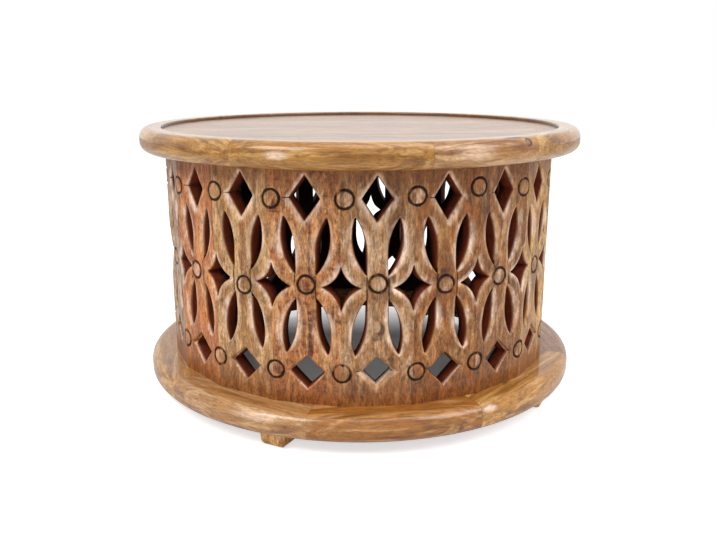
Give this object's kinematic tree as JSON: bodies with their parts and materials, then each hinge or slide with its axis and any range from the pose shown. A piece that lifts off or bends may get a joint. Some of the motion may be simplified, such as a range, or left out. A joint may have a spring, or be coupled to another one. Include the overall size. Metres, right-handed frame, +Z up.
{
  "type": "carved drum coffee table",
  "caption": "Round wooden drum coffee table with a recessed top, a raised rim, a carved lattice wall, a wide base ring and block feet.",
  "frame": {"origin": "on the floor at the axis of the drum", "axes": "+Z up along the drum's axis; the front is -Y"},
  "size_m": [0.756, 0.756, 0.45],
  "materials": {
    "stave_wood": "clear lacquer over carved mango wood",
    "rim_wood": "clear lacquer over mango wood",
    "base_wood": "clear lacquer over mango wood",
    "panel_wood": "clear lacquer over mango wood",
    "foot_wood": "clear lacquer over mango wood",
    "batten_wood": "bare sawn wood, unlacquered",
    "screw_steel": "zinc-plated steel"
  },
  "bodies": {
    "root": {"stave_01": "stave_wood", "stave_02": "stave_wood", "stave_03": "stave_wood", "stave_04": "stave_wood", "stave_05": "stave_wood", "stave_06": "stave_wood", "stave_07": "stave_wood", "stave_08": "stave_wood", "stave_09": "stave_wood", "stave_10": "stave_wood", "stave_11": "stave_wood", "stave_12": "stave_wood", "stave_13": "stave_wood", "stave_14": "stave_wood", "stave_15": "stave_wood", "stave_16": "stave_wood", "stave_17": "stave_wood", "stave_18": "stave_wood", "stave_19": "stave_wood", "stave_20": "stave_wood", "rim_segment_1": "rim_wood", "rim_segment_2": "rim_wood", "rim_segment_3": "rim_wood", "rim_segment_4": "rim_wood", "rim_segment_5": "rim_wood", "rim_segment_6": "rim_wood", "rim_segment_7": "rim_wood", "rim_segment_8": "rim_wood", "base_segment_1": "base_wood", "base_segment_2": "base_wood", "base_segment_3": "base_wood", "base_segment_4": "base_wood", "base_segment_5": "base_wood", "base_segment_6": "base_wood", "base_segment_7": "base_wood", "base_segment_8": "base_wood", "panel_plank_1": "panel_wood", "panel_plank_2": "panel_wood", "panel_plank_3": "panel_wood", "panel_plank_4": "panel_wood", "panel_plank_5": "panel_wood", "panel_plank_6": "panel_wood", "panel_plank_7": "panel_wood", "foot_1": "foot_wood", "foot_2": "foot_wood", "foot_3": "foot_wood", "foot_4": "foot_wood", "batten_left": "batten_wood", "batten_right": "batten_wood", "rim_screws": "screw_steel", "base_screws": "screw_steel", "batten_screws": "screw_steel", "foot_screws": "screw_steel"}
  },
  "joints": []
}
